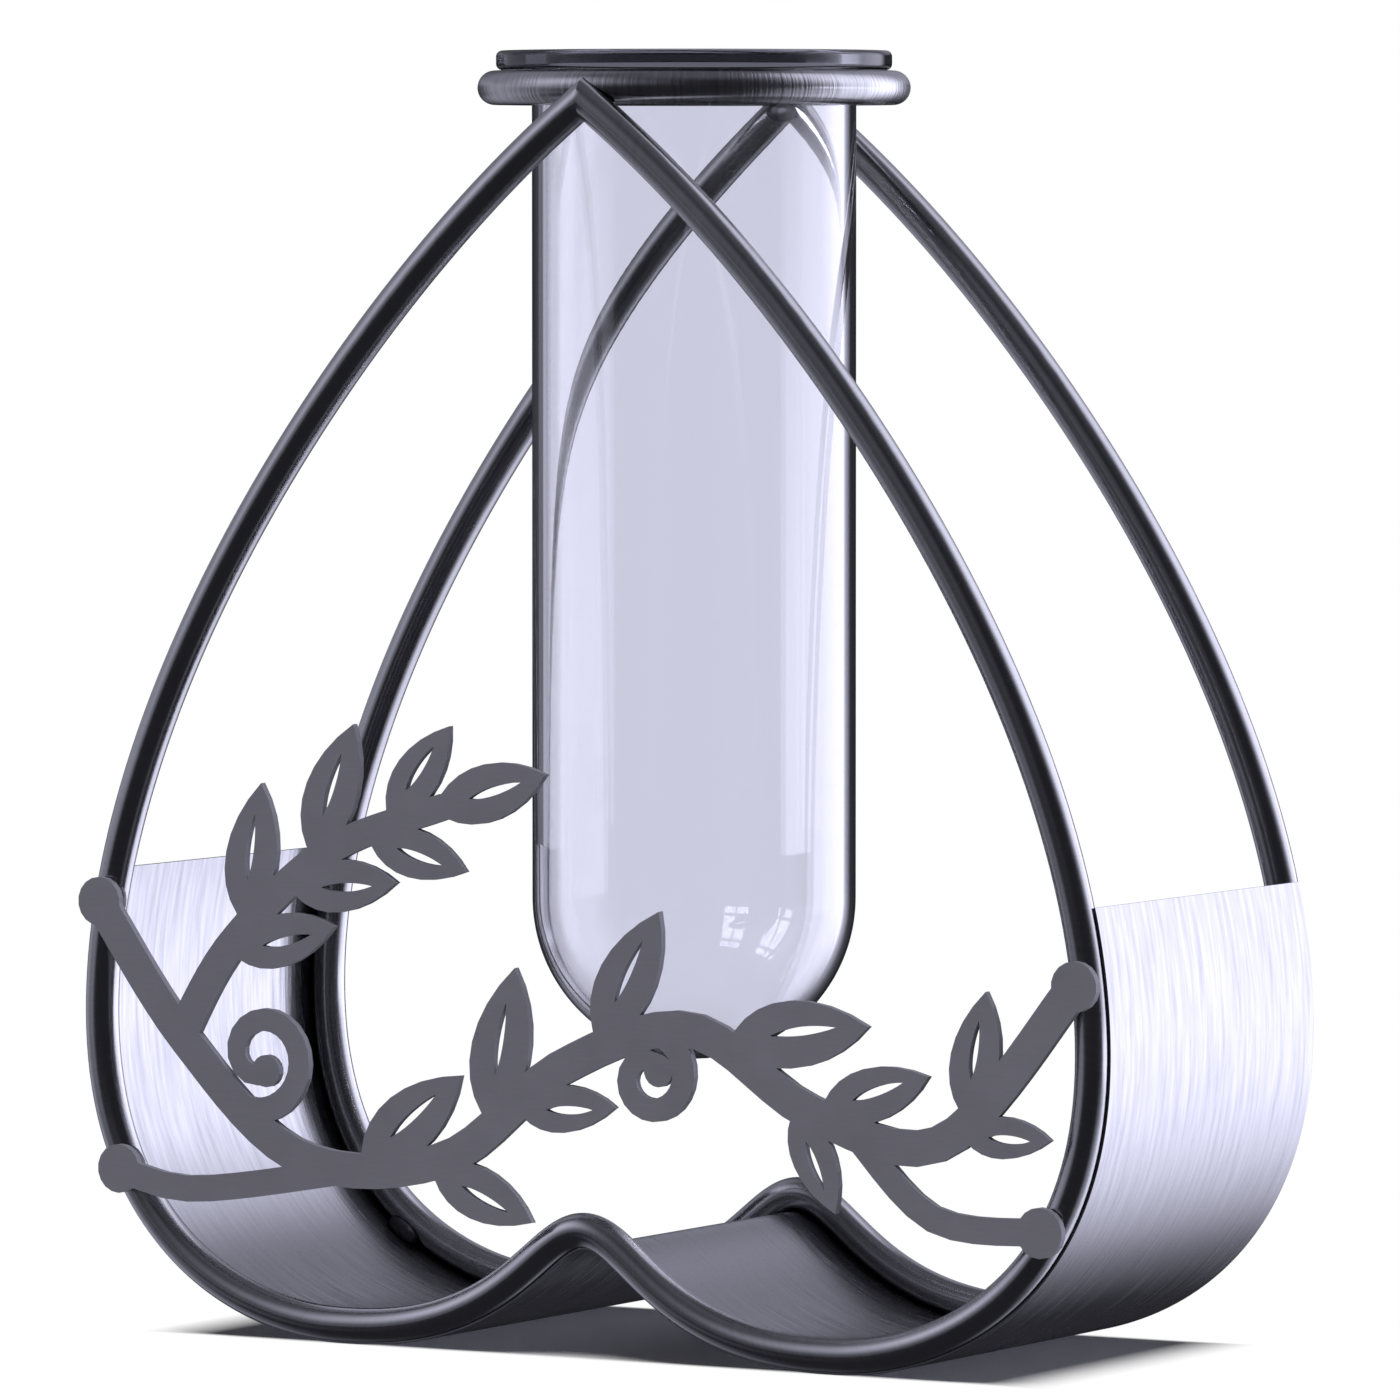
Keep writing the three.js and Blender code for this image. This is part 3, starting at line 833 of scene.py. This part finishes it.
def room_light(tree, window_level):
    """Room's light by direction: its panels and ceiling, the windows in the glass and the dark post."""
    facing = node(tree, "ShaderNodeTexCoord").outputs["Generated"]
    x, y, z = node(tree, "ShaderNodeSeparateXYZ", {"Vector": facing}).outputs
    height = maths(tree, "ARCSINE", z)
    from_back = maths(tree, "ARCTAN2", x, y)
    from_front = maths(tree, "ARCTAN2", times(tree, x, -1.0), times(tree, y, -1.0))

    def between(value, low, high, soft):
        """1 between two angles and 0 past their soft edges."""
        middle = math.radians((low + high) / 2)
        half = math.radians((high - low) / 2)
        inputs = {
            "Value": maths(tree, "ABSOLUTE", maths(tree, "SUBTRACT", value, middle)),
            "From Min": half - math.radians(soft),
            "From Max": half + math.radians(soft),
            "To Min": 1.0,
            "To Max": 0.0,
        }
        return node(tree, "ShaderNodeMapRange", inputs, interpolation_type="SMOOTHSTEP").outputs[0]

    def panel(turn, left, right, low, high, soft, fade):
        """Soft-edged rectangle of the room."""
        return times(tree, between(turn, left, right, soft), between(height, low, high, fade))

    def without(light, share):
        """Light less the share that is taken from it."""
        return times(tree, light, maths(tree, "SUBTRACT", 1.0, share))

    def window(turn, left, right, low, high):
        """Sharp window with one upright bar and two level ones."""
        middle = (left + right) / 2
        pane = panel(turn, left, right, low, high, PANE_EDGE, PANE_EDGE)
        pane = without(pane, between(turn, middle - BAR_HALF_WIDTH, middle + BAR_HALF_WIDTH, BAR_EDGE))
        pane = without(pane, between(height, low + LOW_BAR[0], low + LOW_BAR[1], BAR_EDGE))
        return without(pane, between(height, high - HIGH_BAR[0], high - HIGH_BAR[1], BAR_EDGE))

    lights = [(CEILING_LEVEL, between(height, *CEILING))]
    lights += [(level, panel(from_back, *place)) for level, *place in PANELS_FROM_BACK.values()]
    lights += [(level, panel(from_front, *place)) for level, *place in PANELS_FROM_FRONT.values()]
    lights += [(window_level, window(from_front, *place)) for place in GLASS_WINDOWS]
    total = ROOM_LEVEL
    for level, shape in lights:
        total = maths(tree, "ADD", total, times(tree, shape, level))
    share, *place = DARK_POST
    return without(total, times(tree, panel(from_front, *place), share))


def studio_world(scene, sky_level):
    """White backdrop for the camera, and a room whose panels show in metal and in the glass's edges."""
    world = bpy.data.worlds.new("studio")
    scene.world = world
    world.use_nodes = True
    tree = world.node_tree
    tree.nodes.clear()
    output = tree.nodes.new("ShaderNodeOutputWorld")
    path = node(tree, "ShaderNodeLightPath").outputs
    straight = maths(tree, "LESS_THAN", path["Glossy Depth"], 0.5)
    mirrored = maths(tree, "GREATER_THAN", path["Glossy Depth"], 0.5)
    through = times(tree, path["Is Transmission Ray"], straight)
    trapped = times(tree, path["Is Transmission Ray"], mirrored)
    deep = maths(tree, "GREATER_THAN", path["Transmission Depth"], GLASS_WINDOW_DEPTH)
    window_level = times(tree, times(tree, trapped, deep), GLASS_WINDOW_LEVEL)
    tone = maths(tree, "SUBTRACT", 1.0, times(tree, through, THROUGH_TINT))
    plain = node(tree, "ShaderNodeBackground", {"Color": (*SKY_COLOUR, 1), "Strength": sky_level})
    room = node(tree, "ShaderNodeBackground", {
        "Color": (*ROOM_COLOUR, 1),
        "Strength": room_light(tree, window_level),
    })
    white = node(tree, "ShaderNodeBackground", {"Color": joined(tree, tone, tone, 1.0), "Strength": 1.0})
    inside = maths(tree, "MAXIMUM", path["Is Glossy Ray"], trapped)
    seen = maths(tree, "MAXIMUM", path["Is Camera Ray"], through)
    lit = node(tree, "ShaderNodeMixShader", {0: inside, 1: plain.outputs[0], 2: room.outputs[0]})
    shown = node(tree, "ShaderNodeMixShader", {0: seen, 1: lit.outputs[0], 2: white.outputs[0]})
    tree.links.new(shown.outputs[0], output.inputs["Surface"])


class VASE_OT_stage(bpy.types.Operator):
    """Sets the floor, the light and the camera"""

    bl_idname = "vase.stage"
    bl_label = "Stage"

    def execute(self, context):
        scene = context.scene
        settings = scene.vase_stage
        scene.view_settings.view_transform = "Standard"
        deselect_all()
        bpy.ops.mesh.primitive_plane_add(size=FLOOR_SIZE)
        floor = context.object
        floor.name = floor.data.name = "floor"
        floor.data.materials.append(floor_finish())
        floor.visible_glossy = False
        floor.visible_transmission = False
        bpy.ops.object.light_add(
            type="SUN",
            location=(0, 0, 1),
            rotation=(settings.key_tilt, 0, settings.key_turn),
        )
        lamp = context.object
        lamp.name = "key_light"
        lamp.data.energy = settings.key_level
        lamp.data.angle = settings.key_width
        lamp.visible_glossy = False
        lamp.visible_transmission = False
        bpy.ops.object.camera_add(
            location=settings.camera_place,
            rotation=(math.pi / 2 - settings.camera_tilt, 0, settings.camera_turn),
        )
        camera = context.object
        camera.name = "photo_camera"
        camera.data.sensor_width = SENSOR_WIDTH
        camera.data.lens = settings.camera_lens
        camera.data.clip_start = 0.05
        camera.data.clip_end = 100
        scene.camera = camera
        studio_world(scene, settings.sky_level)
        return {"FINISHED"}


class VASE_PT_panel(bpy.types.Panel):
    """Lists the steps that build the vase"""

    bl_idname = "VASE_PT_panel"
    bl_label = "Vase"
    bl_space_type = "VIEW_3D"
    bl_region_type = "UI"
    bl_category = "Vase"

    def draw(self, context):
        for step in STEPS:
            self.layout.operator(step.bl_idname)
        for group in (context.scene.vase_sizes, context.scene.vase_colours, context.scene.vase_stage):
            box = self.layout.box()
            for key in group.__annotations__:
                box.prop(group, key)


STEPS = (
    VASE_OT_stage,
    VASE_OT_hoops,
    VASE_OT_ring,
    VASE_OT_band,
    VASE_OT_tube,
    VASE_OT_plate,
    VASE_OT_welds,
)
GROUPS = {"vase_sizes": VaseSizes, "vase_colours": VaseColours, "vase_stage": StageSettings}


def register():
    """Registers the classes and their settings on the scene."""
    for made in (*GROUPS.values(), *STEPS, VASE_PT_panel):
        bpy.utils.register_class(made)
    for name, group in GROUPS.items():
        setattr(bpy.types.Scene, name, PointerProperty(type=group))


def unregister():
    """Takes the settings and classes away again."""
    for name in GROUPS:
        delattr(bpy.types.Scene, name)
    for made in reversed((*GROUPS.values(), *STEPS, VASE_PT_panel)):
        bpy.utils.unregister_class(made)


def main():
    """Builds the vase step by step."""
    register()
    bpy.ops.vase.stage()
    bpy.ops.vase.hoops()
    bpy.ops.vase.ring()
    bpy.ops.vase.band()
    bpy.ops.vase.tube()
    bpy.ops.vase.plate()
    bpy.ops.vase.welds()


if __name__ == "__main__":
    main()
